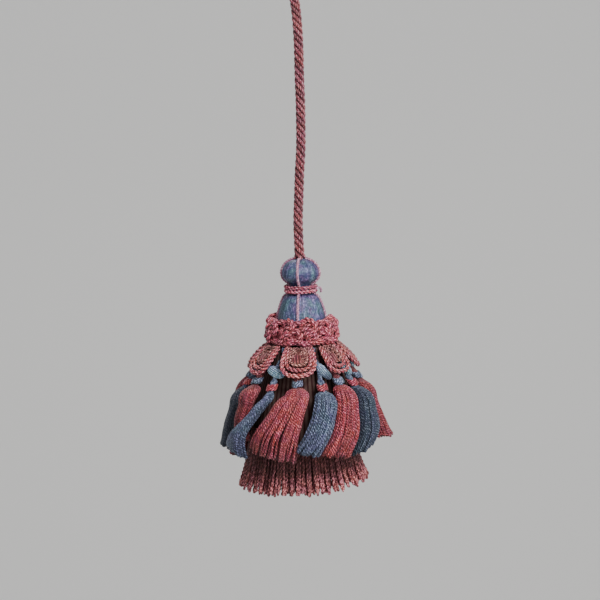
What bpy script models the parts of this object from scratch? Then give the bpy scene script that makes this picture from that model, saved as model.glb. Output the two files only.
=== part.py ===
"""A passementerie key tassel: a cord with an eye loop, a ball and bell head, a looped ruff,
rope swags, sixteen small tassels in two colours, and a fringe of bullions under them.

Sizes are in millimetres and become metres as each point is made. The origin is the point
where the eye loop bears on its hook, with +Z up. The body below the cord leans a little, so
its pieces hang on an empty at the top of the head: a "drop" is measured down the body's axis
from there, a radius from that axis, and an azimuth in degrees from the front (-Y) to the
right (+X)."""

import math

import bmesh
import bpy
from mathutils import Vector

MM = 0.001
GAP = 0.3  # clearance between neighbouring pieces
RING_GAP = 0.4  # and of what is wound round a cord or a neck, at its flats
ROPE_SIDES = 4
ROPE_TURN = math.radians(30)  # from one ring of a rope to the next
CURVE_STEPS = 12  # in each span of a smooth curve

# Cord, with its route from the head up into the eye loop: x, z
CORD_RADIUS = 2.5
CORD_LAY = 15.5
CORD_TURN = math.radians(36)  # from one of its rings to the next
CORD_ROUTE = [
    (1.3, -197.4),
    (0.8, -190.9),
    (0.35, -178.8),
    (0.7, -166.7),
    (1.05, -154.6),
    (1.7, -142.5),
    (1.7, -130.3),
    (1.45, -118.2),
    (0.95, -106.1),
    (0.7, -94.0),
    (0.05, -81.9),
    (-1.0, -72.0),
    (-2.45, -64.5),
    (-2.65, -60.0),
    (-2.65, -54.0),
    (-2.65, -48.0),
    (-3.4, -43.0),
    (-6.4, -35.0),
    (-9.2, -26.0),
    (-10.5, -15.0),
    (-9.4, -3.4),
    (-5.4, 1.0),
    (0.0, 2.5),
    (5.4, 1.0),
    (9.4, -3.4),
    (10.5, -15.0),
    (9.2, -26.0),
    (6.4, -35.0),
    (3.4, -43.0),
    (2.65, -48.0),
    (2.65, -54.0),
    (2.65, -60.0),
    (2.65, -63.5),
]
WHIP_TOP, WHIP_BOTTOM = -48.5, -60.5
WHIP_WALL = 0.9
WHIP_GROOVE = 0.6  # of the wall, between its turns
WHIP_TURNS = 4
WHIP_SIDES = 12

# Body
HEAD_TOP = Vector((1.3, 0.0, -197.0))
LEAN = 1.5

# Turned outlines of the head: drop, radius
BALL = [
    (0.8, 2.6),
    (1.6, 4.9),
    (3.2, 7.1),
    (5.3, 8.45),
    (7.5, 8.9),
    (9.7, 8.3),
    (11.1, 7.0),
    (12.0, 5.6),
    (12.4, 4.6),
    (14.9, 4.6),
]
BELL = [
    (15.2, 4.6),
    (18.2, 4.6),
    (18.7, 6.2),
    (19.6, 7.6),
    (21.2, 8.75),
    (24.0, 10.0),
    (28.0, 11.2),
    (32.0, 11.9),
    (42.3, 12.2),
]
TURNED_SIDES = 24

# Cord laid down the head: drop, radius of its centre
LINE_RADIUS = 0.55
LINE_STEP = 1.9  # between its rings
LINE_AZIMUTHS = (-9, 81, 171, 261)
LINE_PATH = [
    (0.25, 3.6),
    (0.95, 5.5),
    (2.5, 7.9),
    (5.0, 9.35),
    (7.5, 9.85),
    (10.0, 9.2),
    (11.7, 7.6),
    (12.5, 6.4),
    (13.4, 5.6),
    (15.3, 5.45),
    (17.1, 5.6),
    (17.9, 6.6),
    (18.7, 8.0),
    (19.8, 9.0),
    (21.4, 9.8),
    (24.2, 11.0),
    (27.0, 11.85),
]

# Waist cord: two turns in the neck
WAIST_DROPS = (14.35, 16.25)
WAIST_RADIUS = 7.5
WAIST_CORD_RADIUS = 1.0
WAIST_CORNERS, WAIST_CORNER = 4, 53  # on each turn's outer side, and degrees between them
WAIST_SIDES = 20

# Ruff: a rope in leaning loops, and a thicker rope under it
RUFF_LOOPS = 11
RUFF_ROPE_RADIUS = 1.2
RUFF_DROP = 33.3
RUFF_LOOP_HEIGHT = 3.7
RUFF_LOOP_WIDTH = 5.2
RUFF_LOOP_DEPTH = 1.85
RUFF_RADIUS = BELL[-1][1] + GAP + RUFF_ROPE_RADIUS + RUFF_LOOP_DEPTH
RUFF_CURVE_STEPS = 40  # in each loop
RUFF_STEP, FOOT_STEP = 1.9, 1.35  # between the rings of each rope
FOOT_ROPE_RADIUS = 1.9
FOOT_DROP = 40.45
FOOT_RADIUS = 15.6

# Heading and fringe of bullions: drop, radius
UNDER_SKIRT = [
    (42.65, 15.0),
    (48.0, 17.4),
    (56.0, 19.9),
    (67.0, 23.0),
    (78.0, 25.6),
    (90.0, 26.4),
    (103.0, 28.8),
    (111.4, 31.5),
]
HEADING_ROWS = 5
BULLION_FILLS = (0.88, 0.95)  # share of its cell that an outer and an inner bullion fills
BULLION_UNEVEN = 1.0
BULLION_DIP = 3.4  # how much longer the fringe hangs at the front than at the back
BULLION_RISE = 1.3  # and how much shorter at the right
BULLION_SPREAD = 2.6  # how much further it stands out at the left
BULLIONS = 46  # in the outer row, with half as many behind it
BULLION_SHARES = (1.0, 0.76, 0.12)  # of the radius: the edges of the outer and inner rows

# Swags: drop, radius of the rope's centre
SWAG = [
    (42.7, 17.9),
    (45.0, 20.6),
    (48.0, 23.6),
    (51.0, 26.0),
    (53.8, 27.3),
]
SWAG_ROPE_RADIUS = 2.2
SWAG_END_RADIUS = 1.6
SWAG_REACH = 0.342  # of the angle between the two blue tassels that it spans
SWAG_FULL_ANGLE = 47.0  # under which the rope gets thinner
SWAG_SQUARENESS = 2.8
SWAG_STEP = 1.33  # between the rope's rings
SWAG_STEPS = 60  # along its curve
SWAG_END_RINGS = 4  # over which it gets thinner

NECK_RADIUS = 1.7
# Small tassels from hanger to shoulder: drop, radius or None where it lies on the heading,
# half width, half depth
ROSE_HEAD = [
    (43.1, None, 0.8, 0.8),
    (44.6, None, 1.5, 1.3),
    (46.0, None, 2.8, 2.5),
    (48.6, None, 3.1, 3.4),
    (51.4, None, 2.8, 2.8),
    (53.6, None, 2.2, 2.0),
    (56.2, 24.6, 1.9, 1.8),
    (57.3, 25.45, NECK_RADIUS, NECK_RADIUS),
    (60.9, 28.1, NECK_RADIUS, NECK_RADIUS),
    (62.0, 28.9, 4.0, 3.6),
    (64.4, 30.6, 4.9, 4.7),
]
BLUE_HEAD = [
    (43.1, None, 0.8, 0.8),
    (49.0, None, 0.9, 0.9),
    (50.4, None, 2.2, 2.0),
    (52.2, None, 3.7, 3.2),
    (54.8, None, 4.1, 3.7),
    (57.2, 24.4, 3.1, 2.9),
    (58.7, 25.4, NECK_RADIUS, NECK_RADIUS),
    (61.0, 27.05, NECK_RADIUS, NECK_RADIUS),
    (63.1, 28.6, NECK_RADIUS, NECK_RADIUS),
    (64.2, 29.4, 4.0, 3.6),
    (66.4, 31.0, 4.9, 4.7),
]
SHOULDER_ROWS = 2  # the last ones of both
HEAD_SIDES = 8
# Skirts: share of the way from the shoulder to the foot, radius, half depth
SKIRT = [
    (0.32, 34.6, 5.6),
    (0.68, 37.4, 6.3),
    (1.0, 35.8, 5.8),
]
THREAD_SHARE = 0.86  # of its cell that a lock fills at its end
FOOT_UNEVEN = 0.4
CORE_SHARE = 0.45  # of the bundle's radius, where outer and inner locks meet
# Bindings: top drop, bottom drop
ROSE_BINDING = (57.2, 60.7)
BLUE_BINDING = (59.4, 62.9)
BINDING_WALL = 0.8
BINDING_EDGE = 0.7  # of the wall, at both edges

# Round the body from the front: azimuth of the head, azimuths of both edges of the skirt's
# foot, its drop, how much longer its right edge hangs than its left, how late down the skirt
# the sweep to the foot comes, how far the skirt stands out from its neighbours' and its share
# of their thickness, how far its foot flares, its share of their shoulder's width, and how
# late it fans out. The last one is swept over the foot of the one before it.
TASSELS = [
    ("rose", -6.0, -46.0, -9.0, 93.5, 6.0, 0.85, 0.0, 1.0, 0.0, 1.15, 0.85),
    ("blue", 20.0, -6.5, 11.0, 92.0, 2.5, 1.3, 0.0, 1.0, 0.0, 1.0, 1.3),
    ("rose", 40.5, 12.5, 36.5, 94.0, 2.0, 1.3, 0.0, 1.0, 0.0, 1.0, 1.3),
    ("blue", 63.5, 38.0, 59.0, 92.5, -5.0, 1.2, 0.0, 1.0, 0.0, 1.0, 1.2),
    ("rose", 84.5, 63.0, 82.0, 88.5, 1.0, 1.1, -4.0, 0.75, 9.5, 0.7, 1.1),
    ("blue", 106.0, 84.5, 104.0, 90.0, 2.0, 1.1, -4.5, 0.8, 4.0, 0.7, 1.1),
    ("rose", 127.5, 105.5, 126.0, 94.5, 1.0, 1.1, 0.0, 1.0, 0.0, 1.0, 1.1),
    ("blue", 148.5, 127.5, 147.5, 94.0, 2.0, 1.1, 0.0, 1.0, 0.0, 1.0, 1.1),
    ("rose", 170.0, 149.0, 169.5, 94.5, 1.0, 1.1, 0.0, 1.0, 0.0, 1.0, 1.1),
    ("blue", 191.5, 171.0, 191.0, 94.0, 2.0, 1.1, 0.0, 1.0, 0.0, 1.0, 1.1),
    ("rose", 213.0, 192.5, 213.0, 94.5, 1.0, 1.1, 0.0, 1.0, 0.0, 1.0, 1.1),
    ("blue", 234.0, 214.5, 234.5, 104.5, 2.0, 1.1, -1.0, 0.85, 3.0, 1.0, 1.1),
    ("rose", 255.5, 236.0, 256.5, 101.5, -1.5, 1.05, -5.0, 0.75, 5.5, 0.65, 1.05),
    ("blue", 277.0, 258.0, 278.0, 93.0, 1.0, 1.0, -4.0, 0.8, 6.0, 0.75, 1.0),
    ("rose", 301.5, 279.5, 297.0, 88.5, 1.0, 1.1, -3.8, 0.5, 0.6, 0.85, 1.1),
    ("blue", 325.5, 281.0, 309.0, 93.0, 6.0, 0.95, 2.6, 0.45, 0.0, 0.5, 4.0),
]

COLOURS = {
    "rose": (0.42, 0.055, 0.085, 1.0),
    "blue": (0.075, 0.13, 0.31, 1.0),
    "pale": (0.60, 0.25, 0.34, 1.0),
    "cord": (0.40, 0.09, 0.15, 1.0),
}


# Points and curves


def on_body(azimuth, radius, drop):
    """A point of the body, in millimetres from the top of the head."""
    turn = math.radians(azimuth)
    return Vector((radius * math.sin(turn), -radius * math.cos(turn), -drop))


def read_off(table, drop, column=1):
    """The column's value at a drop, straight between the table's rows."""
    if drop <= table[0][0]:
        return table[0][column]
    for above, below in zip(table, table[1:]):
        if drop <= below[0]:
            share = (drop - above[0]) / (below[0] - above[0])
            return above[column] + share * (below[column] - above[column])
    return table[-1][column]


def smooth_curve(points):
    """A Catmull-Rom curve through the points."""
    last = len(points) - 1
    curve = []
    for i in range(last):
        p = [points[min(max(i + k, 0), last)] for k in (-1, 0, 1, 2)]
        for step in range(CURVE_STEPS):
            t = step / CURVE_STEPS
            curve.append(
                0.5
                * (
                    2 * p[1]
                    + (p[2] - p[0]) * t
                    + (2 * p[0] - 5 * p[1] + 4 * p[2] - p[3]) * t**2
                    + (3 * p[1] - p[0] - 3 * p[2] + p[3]) * t**3
                )
            )
    return curve + [points[-1]]


def even_points(curve, spacing, closed=False):
    """Points at an even spacing along a curve, near the one asked for."""
    line = curve + [curve[0]] if closed else curve
    run = [0.0]
    for a, b in zip(line, line[1:]):
        run.append(run[-1] + (b - a).length)
    count = max(2, round(run[-1] / spacing))
    points, k = [], 0
    for i in range(count if closed else count + 1):
        target = run[-1] * i / count
        while k < len(line) - 2 and run[k + 1] < target:
            k += 1
        share = (target - run[k]) / (run[k + 1] - run[k])
        points.append(line[k].lerp(line[k + 1], share))
    return points


# Mesh parts


def add_ring(mesh, points):
    return [mesh.verts.new(point * MM) for point in points]


def join_rings(mesh, one, other):
    for i in range(len(one)):
        k = (i + 1) % len(one)
        mesh.faces.new((one[i], one[k], other[k], other[i]))


def join_all(mesh, rings, closed=False):
    for one, other in zip(rings, rings[1:]):
        join_rings(mesh, one, other)
    if closed:
        join_rings(mesh, rings[-1], rings[0])
    else:
        mesh.faces.new(rings[0])
        mesh.faces.new(rings[-1])


def sweep(mesh, centres, radii, turn=ROPE_TURN, closed=False):
    """A rod along the centres. Each ring is turned further than the last, which lays the
    rod's edges round it as a rope's strands. A closed rod's turn is evened out, so that
    its last ring meets its first edge to edge."""
    count = len(centres)
    ends = range(count)
    if closed:
        tangents = [(centres[(i + 1) % count] - centres[i - 1]).normalized() for i in ends]
    else:
        tangents = [
            (centres[min(i + 1, count - 1)] - centres[max(i - 1, 0)]).normalized()
            for i in ends
        ]
    side = tangents[0].orthogonal().normalized()
    normals = [side]
    for before, after in zip(tangents, tangents[1:] + tangents[:1]):
        side = before.rotation_difference(after) @ side
        normals.append(side)
    if closed:
        spare = normals[0].cross(normals[-1]).dot(tangents[0])
        drift = math.atan2(spare, normals[0].dot(normals[-1]))
        step = math.tau / ROPE_SIDES
        turn = (step * round((turn * count + drift) / step) - drift) / count
    rings = []
    for i in ends:
        across = tangents[i].cross(normals[i])
        points = []
        for k in range(ROPE_SIDES):
            angle = math.tau * k / ROPE_SIDES + turn * i
            spoke = math.cos(angle) * normals[i] + math.sin(angle) * across
            points.append(centres[i] + radii[i] * spoke)
        rings.append(add_ring(mesh, points))
    if not closed:
        join_all(mesh, rings)
        return
    for one, other in zip(rings, rings[1:]):
        join_rings(mesh, one, other)
    shift = round((turn * count + drift) / step) % ROPE_SIDES
    first = rings[0][shift:] + rings[0][:shift]
    join_rings(mesh, rings[-1], first)


def turned_ring(mesh, radius, drop, sides):
    return add_ring(mesh, [on_body(360 * k / sides, radius, drop) for k in range(sides)])


def finish(name, mesh, colour, body=None):
    """Makes the mesh an object with its own material, hung on the body where it is given."""
    bmesh.ops.recalc_face_normals(mesh, faces=mesh.faces)
    data = bpy.data.meshes.new(name)
    mesh.to_mesh(data)
    mesh.free()
    data.shade_smooth()
    data.set_sharp_from_angle(angle=math.radians(40))
    material = bpy.data.materials.new(name)
    material.use_nodes = True
    shader = material.node_tree.nodes["Principled BSDF"]
    shader.inputs["Base Color"].default_value = COLOURS[colour]
    shader.inputs["Roughness"].default_value = 0.55
    shader.inputs["Metallic"].default_value = 0.0
    material.diffuse_color = COLOURS[colour]
    data.materials.append(material)
    piece = bpy.data.objects.new(name, data)
    piece.parent = body
    bpy.context.scene.collection.objects.link(piece)


# Cord and its loop


def make_cord():
    route = [Vector((x, 0.0, z)) for x, z in CORD_ROUTE]
    centres = even_points(smooth_curve(route), CORD_LAY * CORD_TURN / math.tau)
    mesh = bmesh.new()
    sweep(mesh, centres, [CORD_RADIUS] * len(centres), -CORD_TURN)
    finish("hanging_cord", mesh, "cord")


def whip_ring(mesh, height, wall):
    """A ring round the cord's two legs, this far off their surface."""
    leg = abs(CORD_ROUTE[-1][0])
    reach = CORD_RADIUS + wall
    points = []
    for k in range(WHIP_SIDES):
        angle = math.tau * (k + 0.5) / WHIP_SIDES
        x = reach * math.cos(angle)
        points.append(Vector((x + math.copysign(leg, x), reach * math.sin(angle), height)))
    return add_ring(mesh, points)


def make_loop_binding():
    mesh = bmesh.new()
    pitch = (WHIP_TOP - WHIP_BOTTOM) / WHIP_TURNS
    groove = RING_GAP + WHIP_GROOVE * WHIP_WALL
    rings = [whip_ring(mesh, WHIP_BOTTOM, RING_GAP), whip_ring(mesh, WHIP_BOTTOM, groove)]
    for i in range(WHIP_TURNS):
        rings.append(whip_ring(mesh, WHIP_BOTTOM + (i + 0.5) * pitch, RING_GAP + WHIP_WALL))
        rings.append(whip_ring(mesh, WHIP_BOTTOM + (i + 1) * pitch, groove))
    rings.append(whip_ring(mesh, WHIP_TOP, RING_GAP))
    for one, other in zip(rings, rings[1:] + rings[:1]):
        join_rings(mesh, one, other)
    finish("loop_binding", mesh, "rose")


# Head


def make_head(body):
    for name, outline in (("head_ball", BALL), ("head_bell", BELL)):
        mesh = bmesh.new()
        join_all(mesh, [turned_ring(mesh, radius, drop, TURNED_SIDES) for drop, radius in outline])
        finish(name, mesh, "blue", body)


def make_head_lines(body):
    for number, azimuth in enumerate(LINE_AZIMUTHS, 1):
        mesh = bmesh.new()
        path = [on_body(azimuth, radius, drop) for drop, radius in LINE_PATH]
        centres = even_points(smooth_curve(path), LINE_STEP)
        sweep(mesh, centres, [LINE_RADIUS] * len(centres))
        finish(f"head_line_{number}", mesh, "pale", body)


def make_waist_cord(body):
    """Both turns in one ring, as the outline of two cords lying on each other."""
    outline = []
    for drop, first in zip(WAIST_DROPS, (170, -10)):
        for k in range(WAIST_CORNERS):
            angle = math.radians(first - WAIST_CORNER * k)
            outline.append(
                (
                    drop - WAIST_CORD_RADIUS * math.sin(angle),
                    WAIST_RADIUS + WAIST_CORD_RADIUS * math.cos(angle),
                )
            )
    mesh = bmesh.new()
    rings = [
        turned_ring(mesh, radius, drop, WAIST_SIDES)
        for drop, radius in outline
    ]
    for one, other in zip(rings, rings[1:] + rings[:1]):
        join_rings(mesh, one, other)
    finish("waist_cord", mesh, "rose", body)


# Ruff


def make_ruff(body):
    curve = []
    steps = RUFF_LOOPS * RUFF_CURVE_STEPS
    for i in range(steps):
        phase = math.tau * i / RUFF_CURVE_STEPS
        lean = RUFF_LOOP_WIDTH / RUFF_RADIUS * math.cos(phase)
        azimuth = 360 * i / steps + math.degrees(lean)
        radius = RUFF_RADIUS + RUFF_LOOP_DEPTH * math.cos(phase)
        curve.append(on_body(azimuth, radius, RUFF_DROP - RUFF_LOOP_HEIGHT * math.sin(phase)))
    centres = even_points(curve, RUFF_STEP, closed=True)
    mesh = bmesh.new()
    radii = [RUFF_ROPE_RADIUS] * len(centres)
    sweep(mesh, centres, radii, closed=True)
    finish("ruff_loops", mesh, "rose", body)


def make_ruff_foot(body):
    curve = [on_body(3 * k, FOOT_RADIUS, FOOT_DROP) for k in range(120)]
    centres = even_points(curve, FOOT_STEP, closed=True)
    mesh = bmesh.new()
    radii = [FOOT_ROPE_RADIUS] * len(centres)
    sweep(mesh, centres, radii, closed=True)
    finish("ruff_foot", mesh, "rose", body)


# Swags


def make_swags(body):
    blues = [row[1] for row in TASSELS if row[0] == "blue"]
    top, bottom = SWAG[0][0], SWAG[-1][0]
    for number in range(len(blues)):
        left, right = blues[number - 1], blues[number]
        left -= 360 if left > right else 0
        middle, reach = (left + right) / 2, SWAG_REACH * (right - left)
        curve = []
        for i in range(SWAG_STEPS + 1):
            angle = math.pi * (1 - i / SWAG_STEPS)
            power = 2 / SWAG_SQUARENESS
            across = math.copysign(abs(math.cos(angle)) ** power, math.cos(angle))
            drop = top + (bottom - top) * abs(math.sin(angle)) ** power
            azimuth = middle + reach * across
            curve.append(on_body(azimuth, read_off(SWAG, drop), drop))
        centres = even_points(curve, SWAG_STEP)
        full = SWAG_ROPE_RADIUS * min(1.0, (right - left) / SWAG_FULL_ANGLE)
        radii = []
        for i in range(len(centres)):
            share = min(1.0, min(i, len(centres) - 1 - i) / SWAG_END_RINGS)
            radii.append(SWAG_END_RADIUS + share * (full - SWAG_END_RADIUS))
        mesh = bmesh.new()
        sweep(mesh, centres, radii)
        finish(f"swag_{number + 1}", mesh, "rose", body)


# Fringe and small tassels


def shrunk(cell, share):
    """The cell's corners moved towards its middle."""
    middle = [sum(corner[k] for corner in cell) / len(cell) for k in (0, 1)]
    return [tuple(middle[k] + share * (corner[k] - middle[k]) for k in (0, 1)) for corner in cell]


def hang_lock(mesh, root, rings):
    """A lock of threads from the four corners of its root down to its end."""
    upper = root
    for points in rings:
        lower = add_ring(mesh, points)
        join_rings(mesh, upper, lower)
        upper = lower
    mesh.faces.new(upper)


def make_under_skirt(body):
    mesh = bmesh.new()
    step = 360 / BULLIONS
    heading = UNDER_SKIRT[:HEADING_ROWS]
    rings = [
        add_ring(mesh, [on_body(step * k, radius, drop) for k in range(BULLIONS)])
        for drop, radius in heading
    ]
    mesh.faces.new(rings[0])
    for one, other in zip(rings, rings[1:]):
        join_rings(mesh, one, other)
    root_drop, root_radius = heading[-1]
    rows = [rings[-1]]
    for share, every in zip(BULLION_SHARES[1:], (1, 2)):
        turns = range(0, BULLIONS, every)
        rows.append(add_ring(mesh, [on_body(step * k, share * root_radius, root_drop) for k in turns]))
    mesh.faces.new(rows[-1])
    for row, width in ((0, 1), (1, 2)):
        upper, lower = rows[row], rows[row + 1]
        outer, inner = BULLION_SHARES[row : row + 2]
        for k in range(0, BULLIONS, width):
            after = (k + width) % BULLIONS
            if width == 2:
                mesh.faces.new((upper[k], upper[k + 1], upper[after]))
                root = [upper[k], upper[after], lower[after // 2], lower[k // 2]]
            else:
                root = [upper[k], upper[after], lower[after], lower[k]]
            cell = [(k, outer), (k + width, outer), (k + width, inner), (k, inner)]
            turn = math.radians(step * k)
            length = BULLION_UNEVEN * math.sin(2.4 * k + 2 * row) - BULLION_RISE * math.sin(turn)
            length += BULLION_DIP * math.cos(turn / 2) ** 4
            spread = BULLION_SPREAD * max(0.0, -math.sin(turn))
            lock = []
            for drop, radius in UNDER_SKIRT[HEADING_ROWS:]:
                last = drop == UNDER_SKIRT[-1][0]
                level = drop + (length if last else 0.0)
                corners = shrunk(cell, BULLION_FILLS[row])
                reach = radius + spread
                lock.append([on_body(step * a, share * reach, level) for a, share in corners])
            hang_lock(mesh, root, lock)
    finish("under_skirt", mesh, "rose", body)


def disc_cells():
    """The points where a tassel's locks meet, in a disc of radius 1 as pairs of across and
    out, rim first and then core, and each lock's corners: eight outer ones and the middle."""
    rim, core = [], []
    for k in range(HEAD_SIDES):
        angle = math.tau * (k + 0.5) / HEAD_SIDES
        rim.append((math.cos(angle), math.sin(angle)))
        core.append((CORE_SHARE * math.cos(angle), CORE_SHARE * math.sin(angle)))
    cells = []
    for k in range(HEAD_SIDES):
        after = (k + 1) % HEAD_SIDES
        cells.append((k, after, HEAD_SIDES + after, HEAD_SIDES + k))
    cells.append(tuple(range(HEAD_SIDES, 2 * HEAD_SIDES, 2)))
    return rim + core, cells


def head_rows(kind):
    """The head's rows with every radius filled in: where none is given, the piece lies on
    the heading, its own half depth and the clearance off it."""
    table = ROSE_HEAD if kind == "rose" else BLUE_HEAD
    rows = []
    for drop, radius, width, depth in table:
        if radius is None:
            radius = read_off(UNDER_SKIRT, drop) + RING_GAP + depth
        rows.append((drop, radius, width, depth))
    return rows


def section(azimuth, radius, half_angle, depth, drop, points, slope=0.0):
    return [
        on_body(azimuth + across * half_angle, radius + out * depth, drop + slope * across)
        for across, out in points
    ]


def make_small_tassel(name, row, body):
    kind, azimuth, foot_left, foot_right, foot_drop, slope, late = row[:7]
    lift, thick, flare, full, fan = row[7:]
    points, cells = disc_cells()
    rim = points[:HEAD_SIDES]
    mesh = bmesh.new()
    rings = []
    rows = head_rows(kind)
    for k in range(-SHOULDER_ROWS, 0):
        drop, radius, width, depth = rows[k]
        rows[k] = (drop, radius, full * width, min(1.0, full) * depth)
    for drop, radius, width, depth in rows:
        half_angle = math.degrees(width / radius)
        rings.append(add_ring(mesh, section(azimuth, radius, half_angle, depth, drop, rim)))
    mesh.faces.new(rings[0])
    for one, other in zip(rings, rings[1:]):
        join_rings(mesh, one, other)
    root_drop, root_radius, root_width, root_depth = rows[-1]
    root_angle = math.degrees(root_width / root_radius)
    inner = section(azimuth, root_radius, root_angle, root_depth, root_drop, points[HEAD_SIDES:])
    core = add_ring(mesh, inner)
    for k in range(0, HEAD_SIDES, 2):
        mesh.faces.new((core[k], core[k + 1], core[(k + 2) % HEAD_SIDES]))
    corners = rings[-1] + core
    foot_azimuth, foot_angle = (foot_left + foot_right) / 2, (foot_right - foot_left) / 2
    if foot_azimuth < azimuth - 180:
        foot_azimuth += 360
    for number, cell in enumerate(cells):
        shape = shrunk([points[i] for i in cell], THREAD_SHARE)
        lock = []
        for share, radius, depth in SKIRT:
            swept = share**late
            stand = min(1.0, share / SKIRT[1][0])
            turn = azimuth + swept * (foot_azimuth - azimuth)
            half_angle = root_angle + share**fan * (foot_angle - root_angle)
            drop = root_drop + share * (foot_drop - root_drop)
            if share == 1.0:
                drop += FOOT_UNEVEN * thick * math.sin(5 * number + azimuth)
            out = radius + stand * lift + share**3 * flare
            tilt = 0.5 * slope * share**3
            lock.append(section(turn, out, half_angle, thick * depth, drop, shape, tilt))
        hang_lock(mesh, [corners[i] for i in cell], lock)
    finish(f"tassel_{name}", mesh, kind, body)


def make_binding(name, row, body):
    """Thread wound round a small tassel's neck: a hollow ring that follows the neck."""
    kind, azimuth = row[:2]
    top, bottom = ROSE_BINDING if kind == "rose" else BLUE_BINDING
    rows = head_rows(kind)
    rim = disc_cells()[0][:HEAD_SIDES]
    neck = NECK_RADIUS + RING_GAP
    mesh = bmesh.new()
    rings = []
    middle = (top + bottom) / 2
    outline = [
        (top, neck),
        (top, neck + BINDING_EDGE * BINDING_WALL),
        (middle, neck + BINDING_WALL),
        (bottom, neck + BINDING_EDGE * BINDING_WALL),
        (bottom, neck),
    ]
    for drop, size in outline:
        radius = read_off(rows, drop)
        half_angle = math.degrees(size / radius)
        rings.append(add_ring(mesh, section(azimuth, radius, half_angle, size, drop, rim)))
    for one, other in zip(rings, rings[1:] + rings[:1]):
        join_rings(mesh, one, other)
    finish(f"binding_{name}", mesh, "blue" if kind == "rose" else "rose", body)


def make_small_tassels(body):
    numbers = {"rose": 0, "blue": 0}
    for row in TASSELS:
        numbers[row[0]] += 1
        name = f"{row[0]}_{numbers[row[0]]}"
        make_small_tassel(name, row, body)
        make_binding(name, row, body)


def main():
    for old in list(bpy.data.objects):
        bpy.data.objects.remove(old)
    body = bpy.data.objects.new("tassel_body", None)
    body.location = HEAD_TOP * MM
    body.rotation_euler = (0.0, -math.radians(LEAN), 0.0)
    bpy.context.scene.collection.objects.link(body)
    make_cord()
    make_loop_binding()
    make_head(body)
    make_head_lines(body)
    make_waist_cord(body)
    make_ruff(body)
    make_ruff_foot(body)
    make_under_skirt(body)
    make_swags(body)
    make_small_tassels(body)
    bpy.context.view_layer.update()


main()
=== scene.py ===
# Key tassel: a four-strand cord with an eye loop, a thread-covered ball and bell, a looped
# ruff, rope swags, sixteen small tassels in two colours and a fringe of twisted bullions.
# Lengths are in millimetres until a mesh is made, and those of the lamps in metres. "Drop"
# is the way down the body's own axis from the top of the head, "azimuth" is degrees from
# the front to the right.

import math

import bpy
import numpy as np
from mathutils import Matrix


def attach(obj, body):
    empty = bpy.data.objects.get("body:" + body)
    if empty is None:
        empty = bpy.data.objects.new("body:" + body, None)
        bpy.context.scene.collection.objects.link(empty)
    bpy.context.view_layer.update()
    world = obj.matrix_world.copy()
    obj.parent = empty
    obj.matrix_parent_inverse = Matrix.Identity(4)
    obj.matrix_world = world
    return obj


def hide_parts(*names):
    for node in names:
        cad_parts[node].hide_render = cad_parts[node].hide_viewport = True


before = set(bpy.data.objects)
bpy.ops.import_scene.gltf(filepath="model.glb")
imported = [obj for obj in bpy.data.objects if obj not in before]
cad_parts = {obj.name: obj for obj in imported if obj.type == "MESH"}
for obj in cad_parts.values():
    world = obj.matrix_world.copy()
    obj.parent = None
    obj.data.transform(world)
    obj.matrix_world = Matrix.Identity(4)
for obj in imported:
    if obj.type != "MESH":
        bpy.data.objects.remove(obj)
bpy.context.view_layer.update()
rng = np.random.default_rng(41)
mm = 0.001
print("CAD frame loaded")

body = {"top": (1.3, 0.0, -197.0), "lean": 1.5}


def onBody(azimuth, radius, drop):
    azimuth, radius, drop = np.broadcast_arrays(azimuth, radius, drop)
    turn, lean = np.radians(azimuth), math.radians(body["lean"])
    x, y, z = radius * np.sin(turn), -radius * np.cos(turn), -drop
    c, s = math.cos(lean), math.sin(lean)
    return np.stack([x * c - z * s, y, x * s + z * c], axis=-1) + np.array(body["top"])


def readTable(rows, at, column=1):
    # a smooth curve through the table's rows
    rows = np.array(rows, float)
    xs, ys = rows[:, 0], rows[:, column]
    slopes = np.gradient(ys, xs)
    k = np.clip(np.searchsorted(xs, at) - 1, 0, len(xs) - 2)
    gap = xs[k + 1] - xs[k]
    t = np.clip((at - xs[k]) / gap, 0, 1)
    rise = slopes[k] * gap * (t**3 - 2 * t**2 + t) + slopes[k + 1] * gap * (t**3 - t**2)
    return ys[k] * (2 * t**3 - 3 * t**2 + 1) + ys[k + 1] * (3 * t**2 - 2 * t**3) + rise


def distances(line):
    steps = np.linalg.norm(np.diff(line, axis=-2), axis=-1)
    return np.concatenate([np.zeros(steps.shape[:-1] + (1,)), np.cumsum(steps, axis=-1)], axis=-1)


def evenLine(line, spacing, closed=False):
    # points at an even spacing along a line; a closed one doesn't repeat its first point
    line = np.vstack([line, line[:1]]) if closed else line
    run = distances(line)
    count = max(3, round(run[-1] / spacing))
    at = np.linspace(0, run[-1], count + 1)[: count if closed else None]
    return np.stack([np.interp(at, run, line[:, i]) for i in range(3)], axis=-1)


def smoothRoute(points, steps=10):
    # Catmull-Rom curve through a route's points
    p = np.array([points[0], *points, points[-1]], float)
    t = (np.arange(steps) / steps)[:, None]
    runs = []
    for a, b, c, d in zip(p, p[1:], p[2:], p[3:]):
        runs.append(
            0.5 * (2 * b + (c - a) * t + (2 * a - 5 * b + 4 * c - d) * t**2)
            + 0.5 * (3 * b - a - 3 * c + d) * t**3
        )
    return np.vstack(runs + [p[-1:]])


def unit(v):
    return v / np.maximum(np.linalg.norm(v, axis=-1, keepdims=True), 1e-9)


# a direction in which no thread sets off
aside = (0.31, 0.2, 0.93)


def spokes(angle, side, across):
    return np.cos(angle)[..., None] * side + np.sin(angle)[..., None] * across


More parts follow.
